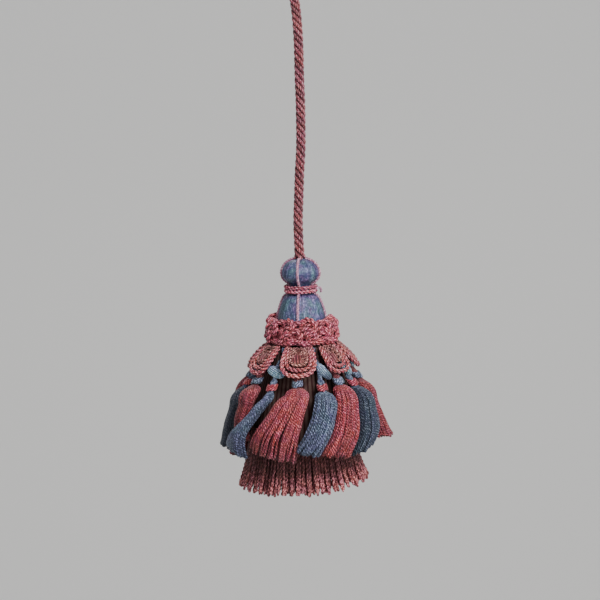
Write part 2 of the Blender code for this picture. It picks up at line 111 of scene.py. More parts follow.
def carriedFrames(lines, closed=False):
    # along, side and across at every point of every line, carried down it without twist
    if closed:
        along = unit(np.roll(lines, -1, axis=1) - np.roll(lines, 1, axis=1))
    else:
        along = unit(np.gradient(lines, axis=1))
    side = np.empty_like(lines)
    side[:, 0] = unit(np.cross(along[:, 0], aside))
    count = lines.shape[1]
    for i in range(1, count):
        before = side[:, i - 1]
        side[:, i] = unit(before - along[:, i] * np.sum(before * along[:, i], -1, keepdims=True))
    if closed:
        last, first, ahead = side[:, -1], side[:, 0], along[:, 0]
        last = unit(last - ahead * np.sum(last * ahead, -1, keepdims=True))
        drift = np.arctan2(np.sum(np.cross(first, last) * ahead, -1), np.sum(first * last, -1))
        back = -drift[:, None] * np.arange(count) / count
        side = spokes(back, side, np.cross(along, side))
    return along, side, np.cross(along, side)


def layPlies(line, plies, offset, lay, closed=False, turn=0.0):
    # centre lines of a rope's plies; a negative lay is laid the other way round
    line = np.array(line)
    side, across = (part[0] for part in carriedFrames(line[None], closed)[1:])
    run = distances(np.vstack([line, line[:1]]) if closed else line)
    turns = run / lay
    if closed:
        turns = turns[:-1] * round(turns[-1]) / turns[-1]
    laid = []
    for k in range(plies):
        angle = turn + math.tau * (k / plies + turns)
        laid.append(line + np.reshape(offset, (-1, 1)) * spokes(angle, side, across))
    return np.stack(laid)


def addObject(name, data):
    made = bpy.data.objects.new(name, data)
    bpy.context.scene.collection.objects.link(made)
    return made


def meshPiece(name, points, faces, corners, tint, outer):
    # corners are the way along and round the yarn at each quad's corners; end caps have none
    data = bpy.data.meshes.new(name)
    data.from_pydata((points.reshape(-1, 3) * mm).tolist(), [], faces)
    data.shade_smooth()
    uv = np.stack([np.stack(corner, -1) for corner in corners], -2).reshape(-1, 2)
    caps = np.zeros((len(data.loops) - len(uv), 2))
    layer = data.uv_layers.new(name="run")
    layer.data.foreach_set("uv", np.vstack([uv, caps]).astype(np.float32).ravel())
    # thread is a random tone for each thread, outer the painted shade (0 darkest)
    for label, values in (("thread", tint), ("outer", outer)):
        mark = data.attributes.new(label, "FLOAT", "POINT")
        mark.data.foreach_set("value", np.ravel(values).astype(np.float32))
    return addObject(name, data)


# share of a rope's half width within which its threads are wholly in painted shade
sunk = 0.35


def threadMesh(name, lines, radii, sides=6, closed=False, lobes=None, core=None, shade=None):
    # one tube along each line. Lobes are the yarns that stand out round a strand, how far and
    # their lay. Core is the rope's own line, from which each point's depth in the rope is
    # measured and painted as shade. Shade is that depth in a tassel, for each point of each
    # thread, painted as shade too.
    lines = np.array(lines, float)
    threads, stations = lines.shape[:2]
    radii = np.broadcast_to(np.array(radii, float), (threads, stations))
    _, side, across = carriedFrames(lines, closed)
    run = distances(lines)
    angle = math.tau * np.arange(sides) / sides + np.zeros((threads, stations, 1))
    size = np.ones(sides)
    if lobes:
        count, depth, lay = lobes
        angle = angle + (math.tau * run / lay)[..., None]
        size = 1 - depth + 2 * depth * np.abs(np.sin(math.pi * count * np.arange(sides) / sides))
    reach = radii[..., None] * size
    points = lines[:, :, None] + (reach * np.cos(angle))[..., None] * side[:, :, None]
    points = points + (reach * np.sin(angle))[..., None] * across[:, :, None]
    outer = np.ones((threads, stations, sides))
    if core is not None:
        away = np.linalg.norm(points - np.array(core)[None, :, None], axis=-1)
        outer = np.clip((away / away.max() - sunk) / (1 - sunk), 0, 1)
    if shade is not None:
        outer = outer * np.clip(shade, 0, 1)[..., None]

    grid = np.arange(threads * stations * sides).reshape(threads, stations, sides)
    here = grid if closed else grid[:, :-1]
    below = np.roll(grid, -1, axis=1) if closed else grid[:, 1:]
    quads = np.stack([here, np.roll(here, -1, 2), np.roll(below, -1, 2), below], -1).reshape(-1, 4)
    faces = quads.tolist()
    if not closed:
        faces += grid[:, 0, ::-1].tolist() + grid[:, -1].tolist()
    u = np.broadcast_to(run[..., None], grid.shape)
    step = run[:, -1:] / (stations - 1)
    uHere = u if closed else u[:, :-1]
    uBelow = (u + step[..., None]) if closed else u[:, 1:]
    v = np.broadcast_to(np.arange(sides) / sides, uHere.shape)
    corners = [(uHere, v), (uHere, v + 1 / sides), (uBelow, v + 1 / sides), (uBelow, v)]
    tint = np.repeat(rng.random(threads), stations * sides)
    return meshPiece(name, points, faces, corners, tint, outer)


def ropeMesh(name, line, rope, closed=False):
    if "spacing" in rope:
        line = evenLine(line, rope["spacing"], closed)
    plies = layPlies(line, rope["plies"], rope["offset"], rope["lay"], closed, rope.get("turn", 0.0))
    return threadMesh(name, plies, rope["radius"], sides=rope["sides"], closed=closed, core=line)


def surfaceMesh(name, points, around, down, tint=0.5, shade=1.0):
    # a skin of rows of points; around and down are its own measures, in threads and in mm
    rows, columns = points.shape[:2]
    grid = np.arange(rows * columns).reshape(rows, columns)
    here, below = grid[:-1], grid[1:]
    quads = np.stack([here, below, np.roll(below, -1, 1), np.roll(here, -1, 1)], -1).reshape(-1, 4)
    faces = quads.tolist() + [grid[0].tolist(), grid[-1, ::-1].tolist()]
    step = around / columns
    v = np.broadcast_to(np.arange(columns) * step, here.shape)
    u = np.broadcast_to(np.array(down)[:, None], (rows, columns))
    uHere, uBelow = u[:-1], u[1:]
    corners = [(uHere, v), (uBelow, v), (uBelow, v + step), (uHere, v + step)]
    # shade is painted shade on the skin, 1 where it is unshaded
    tint, outer = (np.broadcast_to(value, (rows, columns)) for value in (tint, shade))
    return meshPiece(name, points, faces, corners, tint, outer)


def waves(rows, around, start):
    # of each: how many go round, its share of the start, size
    return sum(size * np.sin(count * around + shift * start) for count, shift, size in rows)


# Materials: dyed viscose yarn. "lit" is the dye on a thread's ridges, "deep" the painted shade
# in its grooves and inside a rope, "crest" the colour of painted glints along the ridges.
# "plies" are the ridges round a thread and "lay" the mm in which they go once round it,
# "fibres" and "fibreLay" the same for finer ones that run the other way. "groove" and "inside"
# are how fast painted shade darkens the dye into a groove and into a rope, "uneven" and
# "hues" how far the dye varies, and relief is in mm.

weave = {
    # scales of the noises, to a metre
    "dyeScale": 220, "sparkScale": 950,
    # shares of ridge and fibre in the painted light and shade on the dye
    "ridgeShare": 0.9, "fibreShare": 0.10,
    # least of a thread's own twist, to that of its look, the most more, and turns apart
    "twist": (0.7, 0.6, 37.0),
    # which noise places the painted glints, how bright they get and how narrowly they keep to the crest
    "spark": (0.42, 0.64),
    "sparkMost": 1.5, "crestPower": 5.0,
    # how far the dye varies, which noise turns its hue, and how far fuzz roughens it
    "dyeSpread": 0.2, "hueNoise": (0.35, 0.65), "rough": (-0.08, 0.12), "sheenRough": 0.4,
}


def plugIn(tree, node, inputs):
    # i0 is a node's first socket
    for key, value in inputs.items():
        socket = node.inputs[int(key[1:]) if key[1:].isdigit() else key]
        if isinstance(value, bpy.types.NodeSocket):
            tree.links.new(value, socket)
        else:
            socket.default_value = value


def addNode(tree, kind, settings=None, **inputs):
    made = tree.nodes.new("ShaderNode" + kind)
    for key, value in (settings or {}).items():
        setattr(made, key, value)
    plugIn(tree, made, inputs)
    return made


def maths(tree, operation, a, b=0.0):
    return addNode(tree, "Math", {"operation": operation}, i0=a, i1=b).outputs[0]


def times(tree, a, b):
    return maths(tree, "MULTIPLY", a, b)


def rescaled(tree, value, low, high, start=0.0, stop=1.0):
    # start to stop becomes low to high
    return addNode(tree, "MapRange", i0=value, i1=start, i2=stop, i3=low, i4=high).outputs[0]


def mixed(tree, share, first, second):
    return addNode(tree, "Mix", {"data_type": "RGBA"}, i0=share, i6=first, i7=second).outputs[2]


def noise(tree, scale, detail, **inputs):
    place = addNode(tree, "TexCoord").outputs["Object"]
    return addNode(tree, "TexNoise", Vector=place, Scale=scale, Detail=detail, **inputs).outputs[0]


def ridges(tree, u, v, count, lay):
    # rounded ridges with sharp grooves between them, 0 in the groove and 1 on the crest
    turned = times(tree, v, float(count))
    if lay:
        turned = maths(tree, "ADD", turned, times(tree, u, count / lay))
    return maths(tree, "ABSOLUTE", maths(tree, "SINE", times(tree, turned, math.pi)))


def yarn(name, base, **changes):
    look = base | changes
    material = bpy.data.materials.new(name)
    material.use_nodes = True
    tree = material.node_tree
    shader = tree.nodes["Principled BSDF"]
    uv = tree.nodes.new("ShaderNodeUVMap")
    uv.uv_map = "run"
    split = addNode(tree, "SeparateXYZ", Vector=uv.outputs[0])
    u, v = split.outputs[0], split.outputs[1]
    thread = addNode(tree, "Attribute", {"attribute_name": "thread"}).outputs["Fac"]
    # outer carries the painted shade inside ropes and tassels
    outer = addNode(tree, "Attribute", {"attribute_name": "outer"}).outputs["Fac"]
    # no two threads in step, or twisted alike
    least, more, apart = weave["twist"]
    twist = maths(tree, "ADD", times(tree, thread, more), least)
    u = maths(tree, "ADD", times(tree, u, twist), times(tree, thread, apart))
    crest = ridges(tree, u, v, look["plies"], look["lay"])
    fibre = ridges(tree, u, v, look["fibres"], -look["fibreLay"])
    fuzz = noise(tree, look["fuzz"], 3.0, Roughness=0.6)
    dye = noise(tree, weave["dyeScale"], 2.0)
    spark = noise(tree, weave["sparkScale"], 1.0)

    # painted shade: darker into the grooves between plies and deeper inside a rope or tassel
    lit = maths(tree, "POWER", crest, look["groove"])
    lit = times(tree, lit, maths(tree, "POWER", outer, look["inside"]))
    lit = rescaled(tree, lit, 0.0, weave["ridgeShare"])
    lit = maths(tree, "ADD", lit, times(tree, fibre, weave["fibreShare"]))
    dyeWithPaintedLight = mixed(tree, lit, (*look["deep"], 1), (*look["lit"], 1))
    # painted glints: the crest colour mixed in at specks of noise along the ridges' tops
    glint = times(tree, maths(tree, "POWER", crest, weave["crestPower"]), look["glint"])
    glint = times(tree, glint, lit)
    glint = times(tree, glint, rescaled(tree, spark, 0.0, weave["sparkMost"], *weave["spark"]))
    dyeWithPaintedLight = mixed(tree, glint, dyeWithPaintedLight, (*look["crest"], 1))
    value = rescaled(tree, thread, 1 - look["uneven"], 1 + look["uneven"])
    spread = rescaled(tree, dye, 1 - weave["dyeSpread"], 1 + weave["dyeSpread"])
    value = times(tree, value, spread)
    hue = rescaled(tree, dye, 0.5 - look["hues"], 0.5 + look["hues"], *weave["hueNoise"])
    colour = addNode(tree, "HueSaturation", Hue=hue, Value=value, Color=dyeWithPaintedLight)

    rough = rescaled(tree, fuzz, *(look["rough"] + change for change in weave["rough"]))
    height = times(tree, crest, look["relief"])
    height = maths(tree, "ADD", height, times(tree, fibre, look["fibreRelief"]))
    height = maths(tree, "ADD", height, times(tree, fuzz, look["fuzzRelief"]))
    bump = addNode(tree, "Bump", Strength=1.0, Distance=mm, Height=height)
    inputs = {
        "Base Color": colour.outputs[0],
        "Roughness": rough,
        "Normal": bump.outputs[0],
        "Specular IOR Level": look["gloss"],
        "Specular Tint": (*look["sheenTint"], 1),
        "Sheen Weight": look["sheen"],
        "Sheen Roughness": weave["sheenRough"],
        "Sheen Tint": (*look["sheenTint"], 1),
    }
    plugIn(tree, shader, inputs)
    return material


roseLook = {
    "lit": (0.38, 0.026, 0.045), "deep": (0.018, 0.0015, 0.003), "crest": (0.92, 0.24, 0.30),
    "plies": 2, "lay": 2.8, "fibres": 9, "fibreLay": 5, "fuzz": 2600, "groove": 1.1,
    "inside": 1.1, "glint": 0.9, "uneven": 0.36, "hues": 0.012, "rough": 0.42, "relief": 0.3,
    "fibreRelief": 0.05, "fuzzRelief": 0.05, "gloss": 0.55, "sheen": 0.25,
    "sheenTint": (0.95, 0.6, 0.62),
}
blueLook = roseLook | {
    "lit": (0.041, 0.058, 0.128), "deep": (0.012, 0.015, 0.024), "crest": (0.36, 0.42, 0.62),
    "hues": 0.03, "sheenTint": (0.7, 0.75, 0.95),
}
ropeLook = roseLook | {"plies": 4, "lay": 7, "relief": 0.09}
# thread laid side by side, without a twist of its own
laidLook = blueLook | {"plies": 1, "lay": 0, "fibres": 5, "fibreLay": 0, "relief": 0}
# duller blue for the copies of the blue thread below that are painted in shade
shadedBlueLook = blueLook | {"glint": 0.5, "sheen": 0.1, "gloss": 0.35}

# every yarn below is painted with shade in its grooves and inside its rope and with glints along its
# crests; the cord's near-black deep and steep inside paint dark shade between its strands
cordYarn = yarn(
    "cord_strand_yarn", roseLook, lit=(0.42, 0.062, 0.095), deep=(0.010, 0.001, 0.002),
    crest=(0.90, 0.42, 0.46), plies=5, lay=0, fibres=20, relief=0.08, inside=2,
    sheenTint=(0.95, 0.7, 0.75),
)
roseThread = yarn("rose_tassel_thread", roseLook)
blueThread = yarn("blue_tassel_thread", blueLook)
# darker copies of the blue thread: painted shade on the tassels at the sides, turned from the light, the
# dusk one greyer
shadedBlueThread = yarn(
    "shaded_blue_tassel_thread", shadedBlueLook, lit=(0.019, 0.031, 0.052), crest=(0.30, 0.32, 0.42)
)
greyShadedBlueThread = yarn(
    "grey_shaded_blue_tassel_thread", shadedBlueLook, lit=(0.024, 0.030, 0.038), crest=(0.24, 0.23, 0.24)
)
# the rose tassels' heads, under the swags and ruff, take a darker copy of the rose thread: painted shade
backRose = yarn("back_rose_thread", roseLook, lit=(0.15, 0.03, 0.03), glint=0.2, plies=1, lay=0)
bindingBlue = yarn("blue_binding_thread", blueLook, lit=(0.05, 0.068, 0.10))
woundBlue = yarn(
    "wound_blue_thread", laidLook, lit=(0.038, 0.048, 0.112), crest=(0.26, 0.28, 0.48), glint=0.7,
    fibreRelief=0.02, groove=0.7, rough=0.32, uneven=0.45, hues=0.08, sheen=0, gloss=0.5,
)
knobBlue = yarn(
    "knob_blue_thread", laidLook, lit=(0.20, 0.34, 0.50), crest=(0.72, 0.88, 1.0), glint=1.2, hues=0.05
)
roseRope = yarn(
    "rose_rope_yarn", ropeLook, lit=(0.52, 0.072, 0.112), crest=(0.94, 0.32, 0.40), inside=1.9
)
waistRope = yarn("waist_rope_yarn", ropeLook, lit=(0.52, 0.07, 0.13), crest=(0.95, 0.45, 0.55))
paleLine = yarn(
    "pale_line_yarn", ropeLook, lit=(0.50, 0.24, 0.36), deep=(0.12, 0.02, 0.045),
    crest=(0.85, 0.62, 0.75), lay=3, relief=0.04,
)
swagRope = yarn(
    "swag_rope_yarn", ropeLook, lit=(0.52, 0.072, 0.090), crest=(1.0, 0.44, 0.46), glint=1.15,
    lay=6, inside=1.9,
)
# the ropes nested inside a swag: a darker copy of the swag rope, painting the shade inside the U
innerRope = yarn(
    "inner_swag_yarn", ropeLook, lit=(0.16, 0.038, 0.030), crest=(1.0, 0.46, 0.42), glint=1,
    lay=5, relief=0.08, inside=1.9,
)
# the bullions' deep colour is the dark brown of the painted shadow under the tassels
bullionYarn = yarn(
    "bullion_yarn", ropeLook, lit=(0.14, 0.015, 0.020), deep=(0.026, 0.015, 0.012),
    crest=(0.95, 0.33, 0.36), glint=1.25, lay=4.5, relief=0.08, inside=1.5, sheen=0.06, gloss=0.4,
)
# the heading shows only in the gaps under the tassels and is given the dark brown of the shade there:
# painted shade
headingYarn = yarn(
    "heading_yarn", roseLook, lit=(0.074, 0.047, 0.041), glint=0, plies=1, lay=0, fibres=5,
    relief=0, sheen=0, gloss=0.08, rough=0.8,
)


def dress(piece, material, slot, *nodes):
    piece.data.materials.append(material)
    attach(piece, "root")
    if nodes:
        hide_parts(*nodes)
    return piece


# Camera, a little above the tassel

camera = {
    "aim": (1.3, 0.0, -218.2),
    "distance": 1200, "elevation": 8, "lens": 144, "sensor": 36, "farthest": 50000,
}


def makeCamera():
    tilt = math.radians(camera["elevation"])
    data = bpy.data.cameras.new("front_camera")
    data.lens = camera["lens"]
    data.sensor_width = camera["sensor"]
    data.clip_end = camera["farthest"] * mm
    eye = addObject("front_camera", data)
    x, y, z = camera["aim"]
    y -= camera["distance"] * math.cos(tilt)
    z += camera["distance"] * math.sin(tilt)
    eye.location = (x * mm, y * mm, z * mm)
    eye.rotation_euler = (math.pi / 2 - tilt, 0, 0)
    bpy.context.scene.camera = eye


makeCamera()

# Hanging cord with its eye loop, and the whipping that binds the loop

hanger = {
    "route": [
        (1.3, -197.4), (0.8, -190.9), (0.35, -178.8), (0.7, -166.7), (1.05, -154.6), (1.7, -142.5),
        (1.7, -130.3), (1.45, -118.2), (0.95, -106.1), (0.7, -94), (0.05, -81.9), (-1, -72),
        (-2.45, -64.5), (-2.65, -60), (-2.65, -54), (-2.65, -48), (-3.4, -43), (-6.4, -35),
        (-9.2, -26), (-10.5, -15), (-9.4, -3.4), (-5.4, 1), (0, 2.5), (5.4, 1), (9.4, -3.4),
        (10.5, -15), (9.2, -26), (6.4, -35), (3.4, -43), (2.65, -48), (2.65, -54),
        (2.65, -60), (2.65, -63.5),
    ],
    "spacing": 0.7, "radius": 2.5, "coreRadius": 0.85, "strands": 4,
    "strandRadius": 0.94, "strandOffset": 1.55, "lay": -13.5,
    # how far the strands part where the cord enters the head, and over what length
    "splay": (0.6, 2.5),
    # yarns that stand out round a strand, how far and their lay, and the sides of each
    "yarns": (5, 0.08, 6.5), "yarnSides": 4,
}


def makeCord():
    route = [(x, 0.0, z) for x, z in hanger["route"]]
    line = evenLine(smoothRoute(route), hanger["spacing"])
    splay, over = hanger["splay"]
    offset = hanger["strandOffset"] + splay * np.exp(-distances(line) / over)
    strands = layPlies(line, hanger["strands"], offset, hanger["lay"])
    sides = hanger["yarnSides"] * hanger["yarns"][0]
    piece = threadMesh(
        "cord_strands", strands, hanger["strandRadius"], sides=sides, lobes=hanger["yarns"], core=line
    )
    # a core thread painted wholly in shade, which darkens the gaps between the strands
    core = threadMesh("cord_painted_shade_core", line[None, ::2], hanger["coreRadius"], sides=8, shade=np.zeros((1, 1)))
    dress(core, cordYarn, "hanging_cord")
    return dress(piece, cordYarn, "hanging_cord", "hanging_cord"), line


whipping = {
    "top": -49.1, "bottom": -59.9, "turns": 13, "steps": 40,
    "threadRadius": 0.5, "clear": 0.45,
    # half the distance between the loop's legs, and how sharply the thread turns round one
    "leg": 2.65, "sharpness": 3.0,
}


def makeWhipping():
    # thread wound round both legs of the loop
    reach = hanger["radius"] + whipping["clear"] + whipping["threadRadius"]
    turn = math.tau * np.arange(whipping["turns"] * whipping["steps"] + 1) / whipping["steps"]
    height = np.linspace(whipping["bottom"], whipping["top"], len(turn))
    x = reach * np.cos(turn) + whipping["leg"] * np.tanh(whipping["sharpness"] * np.cos(turn))
    line = np.stack([x, reach * np.sin(turn), height], -1)
    piece = threadMesh("loop_whipping", line[None], whipping["threadRadius"], sides=8)
    return dress(piece, roseThread, "rose_thread", "loop_binding")


cord, cordLine = makeCord()
whip = makeWhipping()
print("cord and loop made")

# Ball and bell, with threads laid over them from top to bottom

head = {
    "ball": [
        (0.3, 1.6), (0.6, 2.9), (1.4, 5.2), (3, 7.4), (5.2, 8.8), (7.5, 9.3), (9.7, 8.7),
        (11.2, 7.4), (12.2, 5.9), (12.8, 5.2), (13.4, 4.9), (14.9, 4.9),
    ],
    "bell": [
        (15, 4.9), (17.2, 4.9), (17.7, 5.6), (18.3, 7), (19.3, 8.2), (21, 9.2), (24, 10.4),
        (28, 11.5), (32, 12.1), (42.3, 12.2),
    ],
    "spacing": 0.8, "threads": 84, "samples": 4, "ridge": 0.10,
    # how the threads wander: to a thread, start, to a mm of the way down, start, degrees
    "drifts": ((0.9, 0, 0.16, 1, 0.65), (0.23, 2, 0.09, 0, 1.3)),
    # the radius under which the ridges shrink, and the least that they shrink to
    "narrow": 6.0, "least": 0.2,
    "lines": (-9, 81, 171, 261),
    "linePath": [
        (0.1, 2.8), (0.6, 4.6), (2.3, 7.4), (4.9, 9.15), (7.5, 9.75), (10.1, 9.05), (11.9, 7.4),
        (12.8, 6.1), (13.8, 5.5), (15.3, 5.4), (16.9, 5.6), (17.8, 7), (19, 8.6), (20.9, 9.7),
        (24, 10.9), (28, 12), (31, 12.5),
    ],
    "lineCord": {"plies": 2, "offset": 0.34, "lay": 2.6, "radius": 0.4, "sides": 7, "spacing": 0.3},
}


def woundSurface(name, outline):
    curve = [(drop, radius, 0.0) for drop, radius in outline]
    curve = evenLine(smoothRoute(curve, 8), head["spacing"])
    down = distances(curve)
    threads, samples = head["threads"], head["samples"]
    around = np.arange(threads * samples) / samples
    lift = head["ridge"] * (np.abs(np.sin(math.pi * around)) - 0.6)
    azimuth = 360 * around[None] / threads
    for perThread, threadStart, perMm, mmStart, degrees in head["drifts"]:
        sideways = np.sin(around * perThread + threadStart)[None]
        azimuth = azimuth + degrees * sideways * np.sin(down * perMm + mmStart)[:, None]
    full = np.clip(curve[:, 1] / head["narrow"], head["least"], 1.0)
    radius = curve[:, 1][:, None] + lift[None] * full[:, None]
    points = onBody(azimuth, radius, curve[:, 0][:, None])
    tint = np.repeat(rng.random(threads), samples)
    return surfaceMesh(name, points, threads, down, tint=tint)


def makeHead():
    for name, node in (("ball", "head_ball"), ("bell", "head_bell")):
        dress(woundSurface(f"{name}_threads", head[name]), woundBlue, "blue_thread", node)
    path = np.array(head["linePath"], float)
    for number, azimuth in enumerate(head["lines"], 1):
        line = smoothRoute(onBody(azimuth, path[:, 1], path[:, 0]))
        piece = ropeMesh(f"head_line_cord_{number}", line, head["lineCord"])
        dress(piece, paleLine, "pale_line", f"head_line_{number}")


makeHead()

# Cord wound twice round the neck, and its cut end, which stands off a little at the right

waist = {
    # drop and the azimuth from which each turn is wound
    "turns": ((14.3, 0), (16.25, 180)),
    "radius": 7.55,
    "cord": {"plies": 2, "offset": 0.48, "lay": 3.9, "radius": 0.55, "sides": 8, "spacing": 0.45},
    # azimuth, radius, drop
    "end": ((70, 8.3, 15.4), (82, 9.2, 15), (90, 9.9, 15.6), (96, 10.1, 17.6)),
    "endCord": {"plies": 2, "offset": 0.33, "lay": 2.4, "radius": 0.36, "sides": 6, "spacing": 0.35},
}


def makeWaist():
    for number, (drop, start) in enumerate(waist["turns"], 1):
        ring = onBody(start + np.arange(0, 360, 3.0), waist["radius"], drop)
        piece = ropeMesh(f"waist_turn_{number}", ring, waist["cord"], closed=True)
        dress(piece, waistRope, "rose_rope", *(("waist_cord",) if number == 1 else ()))
    azimuth, radius, drop = np.array(waist["end"], float).T
    end = smoothRoute(onBody(azimuth, radius, drop))
    dress(ropeMesh("waist_tail", end, waist["endCord"]), paleLine, "pale_line")


makeWaist()
print("head made")

# Ruff: four ropes coiled round the head, two each way, over rings that fill the space
# between them and a foot rope that closes the lower edge

ruff = {
    # loops, middle drop, half height, half width, radius, depth, over or under, lean
    "coils": [
        (11, 33.2, 3.5, 5, 15.3, 1.9, 0, 1),
        (12, 33.9, 3.2, 3.6, 15.2, 1.6, 0.5, -1),
        (13, 37.4, 3.2, 4.2, 15.7, 1.8, 0.25, 1),
        (9, 36.2, 2.6, 5.2, 15.6, 1.7, 0.7, -1),
    ],
    "rope": {"plies": 2, "offset": 0.66, "lay": 5.4, "radius": 0.8, "sides": 8, "spacing": 0.55},
    "loopPoints": 60,
    # waves in the coils' size, height and azimuth
    "swell": ((3, 2, 0.15), (5, 1, 0.12)),
    "wobble": ((4, 1, 0.4), (7, 3, 0.3)),
    "drift": ((3, 1, 3.0),),
    # how much lower the loops sit at the sides, and how flat they are in front
    "sides": 0.9, "flat": 0.4, "inner": 13.9,
    "core": ((31.6, 13.7), (33.9, 13.9), (36.2, 14.1), (38.4, 14.3)),
    "coreRope": {"plies": 2, "offset": 0.55, "lay": 4.4, "radius": 0.66, "sides": 6, "spacing": 0.6},
    # radius and drop
    "foot": (15.8, 40.4),
    "footSag": ((7, 0, 0.45), (12, 1, 0.3)), "footStart": 40,
    "footRope": {"plies": 3, "offset": 0.95, "lay": 6.6, "radius": 0.9, "sides": 10, "spacing": 0.55},
}


def ruffCoil(number, loops, drop, height, width, radius, depth, shift, lean):
    points = ruff["loopPoints"]
    phase = math.tau * np.arange(loops * points) / points
    around = phase / loops
    swell = 1 + waves(ruff["swell"], around, number)
    wobble = waves(ruff["wobble"], around, number) + ruff["sides"] * np.sin(around) ** 2
    azimuth = 360 * (phase / math.tau + shift) / loops + lean * np.degrees(width / radius) * np.cos(phase)
    azimuth = azimuth + waves(ruff["drift"], around, number)
    out = radius + depth * swell * np.cos(phase) + ruff["flat"] * np.cos(2 * phase)
    drop = drop + wobble - height * swell * np.sin(phase)
    return onBody(azimuth, np.maximum(out, ruff["inner"]), drop)


def makeRuff():
    for number, row in enumerate(ruff["coils"], 1):
        piece = ropeMesh(f"ruff_coil_{number}", ruffCoil(number, *row), ruff["rope"], closed=True)
        dress(piece, roseRope, "rose_rope", *(("ruff_loops",) if number == 1 else ()))
    for number, (drop, radius) in enumerate(ruff["core"], 1):
        ring = onBody(np.arange(0, 360, 3.0), radius, drop)
        piece = ropeMesh(f"ruff_core_{number}", ring, ruff["coreRope"], closed=True)
        # the rings take the darker tassel thread, painting the shade behind the coils
        dress(piece, roseThread, "rose_rope")
    azimuth = np.arange(0, 360, 2.0)
    sag = waves(ruff["footSag"], np.radians(azimuth), math.radians(ruff["footStart"]))
    radius, drop = ruff["foot"]
    ring = onBody(azimuth, radius, drop + sag)
    piece = ropeMesh("ruff_foot_rope", ring, ruff["footRope"], closed=True)
    dress(piece, roseRope, "rose_rope", "ruff_foot")


makeRuff()
print("ruff made")

# Small tassels, round the body from the front: azimuth of the head, azimuths of both edges
# of the foot, its drop, how much longer its right edge hangs, how late down the skirt the
# sweep comes, how far the skirt stands out, its share of the usual thickness, how far the
# foot flares, how wide the shoulder is and how late it fans out. "dark" and "dusk" ones are
# blue, in copies of the blue thread painted darker as the shade on tassels turned from the
# light. skirtLine is the heading's drop and radius, behind them all.

skirtLine = [
    (42.65, 15), (48, 17.4), (56, 19.9), (67, 23), (78, 25.6), (90, 26.4), (103, 28.8),
    (113.8, 32),
]
tassel = {
    "round": [
        ("rose", -6, -46, -9, 93.5, 6, 0.72, 0, 1, 0, 1.15, 0.65),
        ("blue", 20, -6.5, 11, 92, 2.5, 1.3, 0, 1, 0, 1, 1.3),
        ("rose", 40.5, 12.5, 36.5, 94, 2, 1.3, 0, 1, 0, 1, 1.3),
        ("dark", 63.5, 38, 59, 92.5, -5, 1.2, 0, 1, 0, 1, 1.2),
        ("rose", 84.5, 63, 82, 88.5, 1, 1.1, -4, 0.75, 9.5, 0.7, 1.1),
        ("blue", 106, 84.5, 104, 90, 2, 1.1, -4.5, 0.8, 4, 0.7, 1.1),
        ("rose", 127.5, 105.5, 126, 94.5, 1, 1.1, 0, 1, 0, 1, 1.1),
        ("blue", 148.5, 127.5, 147.5, 94, 2, 1.1, 0, 1, 0, 1, 1.1),
        ("rose", 170, 149, 169.5, 94.5, 1, 1.1, 0, 1, 0, 1, 1.1),
        ("blue", 191.5, 171, 191, 94, 2, 1.1, 0, 1, 0, 1, 1.1),
        ("rose", 213, 192.5, 213, 94.5, 1, 1.1, 0, 1, 0, 1, 1.1),
        ("blue", 234, 214.5, 234.5, 104.5, 2, 1.1, -1, 0.85, 3, 1, 1.1),
        ("rose", 255.5, 236, 256.5, 101.5, -1.5, 1.05, -5, 0.75, 5.5, 0.65, 1.05),
        ("dusk", 277, 258, 278, 93, 3.5, 1, -4, 0.8, 6, 0.75, 1),
        ("rose", 301.5, 279.5, 297, 88.5, 1, 1.1, -3.8, 0.5, 0.6, 0.85, 1.1),
        ("blue", 325.5, 281, 309, 93, 6, 0.95, 2.6, 0.45, 0, 0.5, 4),
    ],
    # drop, radius or None where it lies on the heading, half width, half depth
    "roseHead": [
        (43.1, None, 0.8, 0.8), (44.6, None, 1.5, 1.3), (46, None, 2.8, 2.5), (48.6, None, 3.1, 3.4),
        (51.4, None, 2.8, 2.8), (53.6, None, 2.3, 2.1), (56.2, 24.6, 1.9, 1.8), (58.8, 26.55, 1.7, 1.7),
        (60.9, 28.1, 1.6, 1.6), (62, 28.9, 3.4, 3), (64.4, 30.6, 4.3, 4.1),
    ],
    "blueHead": [
        (43.1, None, 0.8, 0.8), (49, None, 0.9, 0.9), (50.4, None, 2.2, 2), (52.2, None, 3.7, 3.2),
        (54.8, None, 4.1, 3.7), (57.2, 24.4, 3.1, 2.9), (58.7, 25.4, 1.7, 1.7), (61, 27.05, 1.7, 1.7),
        (63.1, 28.6, 1.6, 1.6), (64.2, 29.4, 3.4, 3), (66.4, 31, 4.3, 4.1),
    ],
    "headClear": 0.4, "headRows": 28, "shoulderLeast": 1.5,
    # behind its knob a blue neck is thin: from, to, over what length, half width
    "thinNeck": (49.2, 58.6, 0.8, 1.1),
    "ridges": 15, "ridge": 0.2, "twist": 0.05,
}


def headingRadius(drop):
    return np.interp(drop, *np.array(skirtLine).T)


def headRows(kind):
    rows = []
    for drop, radius, width, depth in tassel[f"{kind}Head"]:
        if radius is None:
            radius = headingRadius(drop) + tassel["headClear"] + depth
        rows.append((drop, radius, width, depth))
    return rows


def bundle():
    # directions round a bundle of thread, and how far it stands out there or falls back
    count = tassel["ridges"]
    turn = math.tau * np.arange(4 * count)[None] / (4 * count)
    return count, turn, np.abs(np.sin(0.5 * count * turn)) - 0.55


